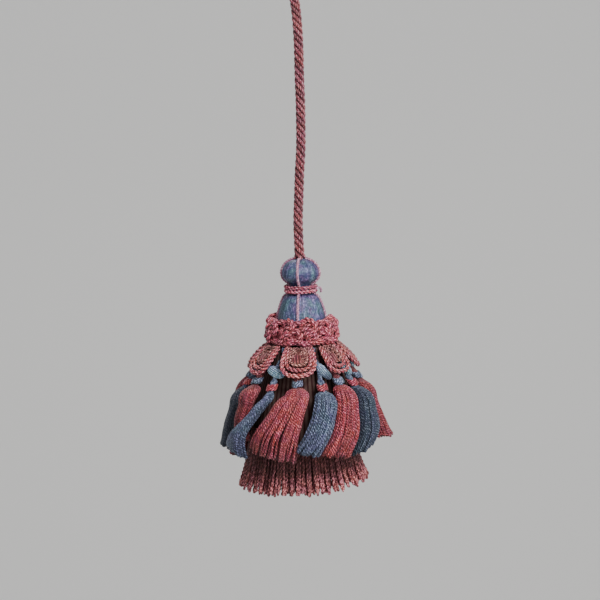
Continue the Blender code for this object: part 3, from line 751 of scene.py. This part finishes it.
def makeTasselHead(name, kind, azimuth, full):
    rows = headRows(kind)
    least = tassel["shoulderLeast"]
    for k in (-2, -1):
        drop, radius, width, depth = rows[k]
        rows[k] = (drop, radius, max(least, width * full), max(least, depth * min(full, 1)))
    drops = np.linspace(rows[0][0], rows[-1][0], tassel["headRows"])[:, None]
    radius, width, depth = (readTable(rows, drops, column) for column in (1, 2, 3))
    if kind == "blue":
        start, stop, over, thin = tassel["thinNeck"]
        slim = np.clip((drops - start) / over, 0, 1) * np.clip((stop - drops) / over, 0, 1)
        width, depth = width * (1 - slim) + thin * slim, depth * (1 - slim) + thin * slim
    count, turn, ridge = bundle()
    turn = turn + tassel["twist"] * (drops - drops[0])
    size = 1 + tassel["ridge"] * ridge * np.clip(width / 4, 0.25, 1)
    across, out = np.sin(turn) * size * width, np.cos(turn) * size * depth
    points = onBody(azimuth + np.degrees(across / radius), radius + out, drops)
    piece = surfaceMesh(f"{name}_head", points, count, (drops - drops[0])[:, 0])
    dress(piece, blueThread if kind == "blue" else backRose, f"{kind}_skirt", f"tassel_{name}")


# Thread of the other colour wound round each neck

binding = {
    "rose": (57.65, 60.25), "blue": (59.85, 62.45),
    "turns": 5, "steps": 26, "threadRadius": 0.46,
    # how far from the neck's middle the thread runs, and how much further in mid binding
    "reach": 2.15, "belly": 0.2,
}


def makeBinding(name, kind, azimuth):
    top, bottom = binding[kind]
    turns, steps = binding["turns"], binding["steps"]
    turn = np.arange(turns * steps + 1) / steps
    drop = top + (bottom - top) * turn / turns
    radius = readTable(headRows(kind), drop)
    reach = binding["reach"] + binding["belly"] * np.sin(math.pi * turn / turns)
    across, out = reach * np.sin(math.tau * turn), reach * np.cos(math.tau * turn)
    line = onBody(azimuth + np.degrees(across / radius), radius + out, drop)
    piece = threadMesh(f"{name}_binding", line[None], binding["threadRadius"], sides=7)
    other, thread = ("blue", bindingBlue) if kind == "rose" else ("rose", roseThread)
    dress(piece, thread, f"{other}_thread", f"binding_{name}")


# Bundles of thread in front of the blue tassels' necks, lying aslant

knob = {
    # by the tassel's azimuth: degrees from upright, half length, half width, degrees that
    # it lies beside the neck, and how far its lower end is darkened with painted shade
    "rows": {
        20.0: (40, 4.6, 2.2, 6, 0.97),
        63.5: (25, 4.2, 2.3, 0, 0.5),
        277.0: (30, 4.2, 2.4, 0, 0.7),
        325.5: (72, 5.4, 2, -1, 0.3),
    },
    "usual": (18, 4.4, 2.8, 0, 0.5),
    "drop": 54.2,
    # off the heading, and further off to a mm of the way down
    "stand": 4.1, "outward": 0.42, "bands": 20, "ridge": 0.22,
    # how blunt its ends are, how far it twists, and how fast the painted shade comes on towards the lower
    # end
    "blunt": 0.75, "twist": 0.25, "darkening": 1.5,
}


def makeKnob(name, azimuth):
    tilt, half, wide, beside, dark = knob["rows"].get(azimuth, knob["usual"])
    tilt = math.radians(tilt)
    count, turn, ridge = bundle()
    end = np.linspace(0.02, math.pi - 0.02, knob["bands"])[:, None]
    belly = wide * np.sin(end) ** knob["blunt"] * (1 + knob["ridge"] * ridge)
    turn = turn + knob["twist"] * np.cos(end)
    across, out = belly * np.sin(turn), belly * np.cos(turn)
    along = -half * np.cos(end)
    right = along * math.sin(tilt) + across * math.cos(tilt)
    down = along * math.cos(tilt) - across * math.sin(tilt)
    middle = headingRadius(knob["drop"]) + knob["stand"]
    radius = middle + knob["outward"] * down + out
    points = onBody(azimuth + beside + np.degrees(right / middle), radius, knob["drop"] + down)
    # painted shade, darker towards the lower end
    shade = 1 - dark * np.clip(knob["darkening"] * end / math.pi, 0, 1)
    piece = surfaceMesh(f"{name}_knob", points, count, end[:, 0] * half, shade=shade)
    dress(piece, knobBlue, "blue_skirt")


# Skirts of loose thread

skirt = {
    # share of the way from the shoulder to the foot, radius, half depth, share of the
    # shoulder's width; the threads start on the neck, and their radius there is from the root's
    "neck": [(-0.115, -2.55, 1.75, 0.36), (-0.08, -1.9, 3.5, 0.72), (-0.045, -1.2, 4.5, 0.93)],
    "fall": [(0, None, 4.9, 1), (0.32, 34.6, 5.6, 1), (0.68, 37.4, 6.3, 1), (1, 35.8, 5.8, 1)],
    "neckPoints": 6, "fallPoints": 18, "firstFall": 0.06, "rootSpare": 0.6,
    # size and threads of each ring, and how far they stray in and out and sideways
    "rings": ((1.02, 9), (0.96, 42), (0.78, 30), (0.5, 5)),
    "strayOut": 0.03, "straySide": 0.3,
    # locks that part towards the foot: fewest, how many more, depth, how far they close up
    "locks": (5, 3, 0.05, 0.06),
    # painted shade between threads, darkest on the inner ones: how lit all over, how much
    # lighter on the locks' crests and darker between them, how lit at the shoulder and how much
    # darker towards the foot
    "shade": (0.68, 0.17, 1.18, 0.3),
    # painted darker, in the shade of their neighbours
    "dim": {84.5: 0.58, 255.5: 0.55, 301.5: 0.85},
    "sway": 0.055, "curl": 0.035, "uneven": 0.9,
    # how far down the skirt it has come out from the others, and has its own thickness
    "stand": 0.68, "slim": 0.25, "threadRadius": 0.56, "neckThread": 0.62,
}


def makeSkirt(name, kind, row, thread):
    azimuth, footLeft, footRight, footDrop, slope, late, lift, thick, flare, full, fan = row
    rootDrop, rootRadius, rootWidth, _ = headRows(kind)[-1]
    rootAngle = math.degrees(full * (rootWidth + skirt["rootSpare"]) / rootRadius)
    footMiddle, footAngle = (footLeft + footRight) / 2, (footRight - footLeft) / 2
    footMiddle += 360 if footMiddle < azimuth - 180 else 0
    neck = [(share, rootRadius + radius, *rest) for share, radius, *rest in skirt["neck"]]
    fall = [(share, radius or rootRadius, *rest) for share, radius, *rest in skirt["fall"]]
    table = neck + fall
    rho, phi = [], []
    for size, count in skirt["rings"]:
        rho.append(size + rng.uniform(-1, 1, count) * skirt["strayOut"])
        phi.append(math.tau * (np.arange(count) + rng.uniform(-1, 1, count) * skirt["straySide"]) / count)
    rho, phi = np.concatenate(rho)[:, None], np.concatenate(phi)[:, None]
    top = skirt["neck"][0][0]
    upper = np.linspace(top, 0.0, skirt["neckPoints"])
    share = np.concatenate([upper, np.linspace(skirt["firstFall"], 1, skirt["fallPoints"])])[None]
    spread = np.clip(share, 0, 1)
    fewest, more, lockDepth, lockClose = skirt["locks"]
    locks = fewest + rng.integers(0, more)
    start = rng.uniform(0, 6)
    crest = np.cos(locks * phi + start)
    rho = rho * (1 + lockDepth * spread * crest)
    # painted shade for each point of each thread
    allOver, onLocks, atShoulder, less = skirt["shade"]
    shade = (allOver + onLocks * crest * np.clip(3 * spread, 0, 1)) * (rho / rho.max()) ** 2
    shade = shade * (atShoulder - less * spread) * skirt["dim"].get(azimuth, 1.0)
    phi = phi + lockClose * spread * np.sin(locks * phi + start + 0.8)
    threads = rho.shape[:1] + (1,)
    across = rho * np.sin(phi) + rng.normal(0, skirt["sway"], threads) * spread**1.5
    curl = np.sin(rng.uniform(5, 13, threads) * share + rng.uniform(0, 6, threads))
    across = across + skirt["curl"] * spread * curl
    turn = azimuth + spread**late * (footMiddle - azimuth)
    halfAngle = (rootAngle + spread**fan * (footAngle - rootAngle)) * readTable(table, share, 3)
    stand = np.clip(spread / skirt["stand"], 0, 1)
    slim = np.clip(spread / skirt["slim"], 0, 1)
    radius = readTable(table, share) + lift * stand + flare * spread**3
    depth = readTable(table, share, 2) * (1 + (thick - 1) * slim) * (1 + (min(full, 1) - 1) * (1 - slim))
    uneven = rng.uniform(-1, 0.7, threads) * skirt["uneven"]
    drop = rootDrop + share * (footDrop - rootDrop) + spread**3 * (0.5 * slope * across + uneven)
    lines = onBody(turn + across * halfAngle, radius + rho * np.cos(phi) * depth, drop)
    thin = skirt["neckThread"]
    thin = thin + (1 - thin) * np.clip((share - top) * 2.5, 0, 1)
    thin = skirt["threadRadius"] * thin * rng.uniform(0.84, 1.12, threads)
    piece = threadMesh(f"{name}_skirt", lines, thin, sides=5, shade=shade)
    dress(piece, thread, f"{kind}_skirt")


def makeSmallTassels():
    numbers = {"rose": 0, "blue": 0}
    threads = {"rose": roseThread, "blue": blueThread, "dark": shadedBlueThread, "dusk": greyShadedBlueThread}
    for dye, azimuth, *row in tassel["round"]:
        kind = "rose" if dye == "rose" else "blue"
        numbers[kind] += 1
        name = f"{kind}_{numbers[kind]}"
        makeTasselHead(name, kind, azimuth, row[8])
        if kind == "blue":
            makeKnob(name, azimuth)
        makeBinding(name, kind, azimuth)
        makeSkirt(name, kind, (azimuth, *row), threads[dye])


makeSmallTassels()
print("small tassels made")

# Swags: a thick rope in a U between two blue tassels, with finer ropes nested in it

swag = {
    # drop and radius of the way down
    "line": [(42.7, 17.9), (45, 20.6), (48, 23.6), (51, 26), (53.8, 27.3)],
    "reach": 0.342, "squareness": 2.8, "fullAngle": 47,
    # scale of the U, rope radius, lay
    "ropes": [
        (1.1, 1.15, 4.6), (0.87, 1.1, 4.2), (0.66, 0.95, 3.6), (0.47, 0.85, 3.2), (0.29, 0.8, 3),
        (0.12, 0.7, 2.8),
    ],
    # how many outer ropes keep the lit swag rope; those nested inside them take the copy painted in shade
    "outerRopes": 2,
    # how far round some hang from the middle, and their share of the others' length
    "hangs": {0: (2.2, 1), 1: (3.2, 0.95), 2: (3, 0.95)},
    "points": 90, "spacing": 0.45,
    # waves along a rope, in degrees, and in and out of the swag
    "wander": (0.8, 0.5), "ripple": 0.3,
    # how far back each rope lies from the last, and how steeply the lowest part stands out
    "back": 0.2, "tuck": 0.35,
    # the ropes narrow to this share of their thickness over this length at each end
    "ends": (0.75, 4),
    # a ply's distance from the rope's middle and its radius, to that of the rope
    "plies": (0.5, 0.56),
}


def swagRopeLine(left, right, shift, short, nested, scale):
    top, bottom = swag["line"][0][0], swag["line"][-1][0]
    power = 2 / swag["squareness"]
    angle = math.pi * (1 - np.arange(swag["points"] + 1) / swag["points"])
    across = np.copysign(np.abs(np.cos(angle)) ** power, np.cos(angle))
    drop = top + (bottom - top) * scale * short * np.abs(np.sin(angle)) ** power
    slow, quick = swag["wander"]
    wander = rng.uniform(-slow, slow) * np.sin(angle) + quick * np.sin(3 * angle + rng.uniform(0, 6))
    azimuth = (left + right) / 2 + shift + scale * swag["reach"] * (right - left) * across + wander
    radius = readTable(swag["line"], np.minimum(drop, bottom))
    radius = radius + swag["tuck"] * np.maximum(drop - bottom, 0) - swag["back"] * nested
    radius = radius + swag["ripple"] * np.sin(2 * angle + rng.uniform(0, 6))
    return evenLine(onBody(azimuth, radius, drop), swag["spacing"])


def makeSwags():
    blues = [row[1] for row in tassel["round"] if row[0] != "rose"]
    least, over = swag["ends"]
    apart, ply = swag["plies"]
    for number, right in enumerate(blues):
        left = blues[number - 1]
        left -= 360 if left > right else 0
        narrow = min(1.0, (right - left) / swag["fullAngle"])
        shift, short = swag["hangs"].get(number, (0.0, 1.0))
        for nested, (scale, thick, lay) in enumerate(swag["ropes"]):
            line = swagRopeLine(left, right, shift, short, nested, scale)
            fromEnd = np.minimum(distances(line), distances(line[::-1])[::-1])
            ends = np.minimum(1, least + (1 - least) * fromEnd / over)
            thick = thick * narrow
            rope = {"plies": 2, "offset": apart * thick, "lay": lay, "sides": 8}
            rope |= {"radius": ply * thick * ends, "turn": rng.uniform(0, 6)}
            piece = ropeMesh(f"swag_{number + 1}_rope_{nested + 1}", line, rope)
            nodes = (f"swag_{number + 1}",) if nested == 0 else ()
            dress(piece, swagRope if nested < swag["outerRopes"] else innerRope, "rose_rope", *nodes)


makeSwags()
print("swags made")

# Fringe: twisted bullions looped at their ends, under a ribbed heading

fringe = {
    # bullions, points down each, share of the radius, shorter by, painted shade, lay
    "rows": (
        (107, 28, 0.985, 0, 1, 4.4),
        (101, 28, 0.92, 0.2, 0.9, 4.4),
        (97, 14, 0.86, 0.9, 0.5, 9),
        (83, 14, 0.78, 1.3, 0.4, 9),
        (53, 14, 0.60, 2.2, 0.4, 9),
        (31, 14, 0.36, 3, 0.4, 9),
    ),
    "from": 84, "to": 110.4, "uneven": 1.2,
    # longer in front, shorter at the right, wider at the left from this drop over this length
    "dip": 3.4, "rise": 1.3, "spread": (2.6, 78, 12),
    "lowest": 113.8, "inset": 1.1,
    # how far the ends stray round and outwards, further out at the right, and the bows' degrees
    "swing": 1.6, "kick": (-0.7, 1), "kickRight": 1, "bow": 0.35,
    "plyRadius": 0.48, "plyOffset": 0.48, "loopBends": (30, 60, 90, 120, 150), "loopReach": 1.4,
    # painted shadow of the tassels at the top, share of the way down where it starts to lighten, and over
    # what share
    "shade": (0.32, 0.64, 0.28),
    # the heading, and how many ribs it has, how deep and how far in
    "headingRows": 6, "headingSpacing": 2, "ribs": (60, 0.2, 0.1),
}


def bullionLines(number, count, steps, inset, shorter):
    azimuth = 360 * (np.arange(count) + 0.37 * number + rng.uniform(-0.15, 0.15, count)) / count
    length = fringe["to"] - shorter + rng.uniform(-1, 0.6, count) * fringe["uneven"]
    turn = np.radians(azimuth)
    length = length + fringe["dip"] * (0.5 + 0.5 * np.cos(turn)) ** 2 - fringe["rise"] * np.sin(turn)
    swing = rng.normal(0, fringe["swing"], count)[:, None]
    kick = rng.uniform(*fringe["kick"], count) + fringe["kickRight"] * np.clip(np.sin(turn), 0, 1)
    share = np.linspace(0, 1, steps)[None]
    drop = fringe["from"] + share * (length[:, None] - fringe["from"])
    most, top, over = fringe["spread"]
    low = np.clip((drop - top) / over, 0, 1)
    spread = most * np.clip(-np.sin(turn), 0, 1)[:, None] * low
    radius = readTable(skirtLine, np.minimum(drop, fringe["lowest"]))
    radius = (radius + spread) * inset - fringe["inset"] + kick[:, None] * share**3
    bow = np.sin(rng.uniform(3, 7, (count, 1)) * share + rng.uniform(0, 6, (count, 1)))
    return share, onBody(azimuth[:, None] + swing * share**2 + fringe["bow"] * bow, radius, drop)


def makeBullions():
    offset = fringe["plyOffset"]
    bend = np.radians(fringe["loopBends"])[None, :, None]
    least, top, over = fringe["shade"]
    for number, (count, steps, inset, shorter, deep, lay) in enumerate(fringe["rows"], 1):
        share, lines = bullionLines(number, count, steps, inset, shorter)
        along, side, across = carriedFrames(lines)
        angle = math.tau * distances(lines) / lay + rng.uniform(0, math.tau, count)[:, None]
        spoke = offset * spokes(angle, side, across)
        # down one ply, round the loop at its end and up the other
        end, tip, ahead = lines[:, -1:], spoke[:, -1:], along[:, -1:]
        loop = end + np.cos(bend) * tip + np.sin(bend) * ahead * offset * fringe["loopReach"]
        whole = np.concatenate([lines + spoke, loop, (lines - spoke)[:, ::-1]], axis=1)
        fall = np.concatenate([share, np.ones((1, bend.shape[1])), share[:, ::-1]], axis=1)
        # painted shadow over the tops of the bullions, and painted shade on the inner rows
        light = np.clip((fall - top) / over, 0, 1)
        shade = deep * (least + (1 - least) * light) * np.ones((count, 1))
        piece = threadMesh(f"bullions_row_{number}", whole, fringe["plyRadius"], sides=5, shade=shade)
        dress(piece, bullionYarn, "rose_bullion")


def makeHeading():
    curve = [(drop, radius, 0.0) for drop, radius in skirtLine[: fringe["headingRows"]]]
    curve = evenLine(np.array(curve), fringe["headingSpacing"])
    count, depth, inset = fringe["ribs"]
    around = np.arange(4 * count) / 4
    lift = depth * (np.abs(np.sin(math.pi * around)) - 1.0) - inset
    points = onBody(360 * around[None] / count, curve[:, 1][:, None] + lift, curve[:, 0][:, None])
    piece = surfaceMesh("fringe_heading", points, count, distances(curve))
    dress(piece, headingYarn, "rose_bullion", "under_skirt")


makeBullions()
makeHeading()
print("fringe made")

# Floor, backdrop and light

studio = {
    "floor": -1500, "wall": 1600, "bend": 400, "bendSteps": 8, "reach": 3000, "top": 2500,
    "paint": (0.88, 0.87, 0.85), "rough": 0.9, "grain": 60,
    "sky": 0.38, "skyColour": (0.95, 0.97, 1),
    "centre": (1.3, 0, -235),
    # name, azimuth, elevation, distance, width, height, watts
    "lamps": [
        ("key", 25, 44, 1.3, 0.35, 0.35, 19),
        ("strip", 39, 12, 1.2, 0.14, 1.3, 12.5),
        ("front", -14, 8, 1.6, 0.2, 0.2, 1.3),
        ("fill", -60, 10, 1.5, 0.2, 1.2, 3),
        ("back", 190, 40, 1.5, 0.8, 0.8, 6),
    ],
}


def makeStage():
    # a floor that bends up into a wall
    bend, steps, reach = studio["bend"], studio["bendSteps"], studio["reach"]
    rows = [(-reach, studio["floor"])]
    for step in range(steps + 1):
        turn = math.radians(90 * step / steps)
        rows.append((studio["wall"] + bend * math.sin(turn), studio["floor"] + bend * (1 - math.cos(turn))))
    rows.append((studio["wall"] + bend, studio["top"]))
    verts = [(x * mm, y * mm, z * mm) for y, z in rows for x in (-reach, reach)]
    faces = [(2 * i, 2 * i + 1, 2 * i + 3, 2 * i + 2) for i in range(len(rows) - 1)]
    data = bpy.data.meshes.new("backdrop")
    data.from_pydata(verts, [], faces)
    data.shade_smooth()
    paint = bpy.data.materials.new("backdrop_paint")
    paint.use_nodes = True
    tree = paint.node_tree
    shader = tree.nodes["Principled BSDF"]
    bump = addNode(tree, "Bump", Strength=0.1, Distance=mm, Height=noise(tree, studio["grain"], 4.0))
    paints = {"Base Color": (*studio["paint"], 1), "Roughness": studio["rough"]}
    plugIn(tree, shader, paints | {"Normal": bump.outputs[0]})
    data.materials.append(paint)
    backdrop = addObject("backdrop", data)


def makeLamps():
    centre = np.array(studio["centre"]) * mm
    for name, azimuth, elevation, distance, width, height, watts in studio["lamps"]:
        a, e = math.radians(azimuth), math.radians(elevation)
        back = np.array([math.sin(a) * math.cos(e), -math.cos(a) * math.cos(e), math.sin(e)])
        data = bpy.data.lights.new(name, "AREA")
        data.shape = "ELLIPSE"
        data.size = width
        data.size_y = height
        data.energy = watts
        lamp = addObject(name, data)
        lamp.location = centre + back * distance
        lamp.rotation_euler = (math.pi / 2 - e, 0, a)
    world = bpy.data.worlds.new("studio")
    world.use_nodes = True
    background = world.node_tree.nodes["Background"]
    background.inputs["Color"].default_value = (*studio["skyColour"], 1)
    background.inputs["Strength"].default_value = studio["sky"]
    bpy.context.scene.world = world


makeStage()
makeLamps()

print("stage set")
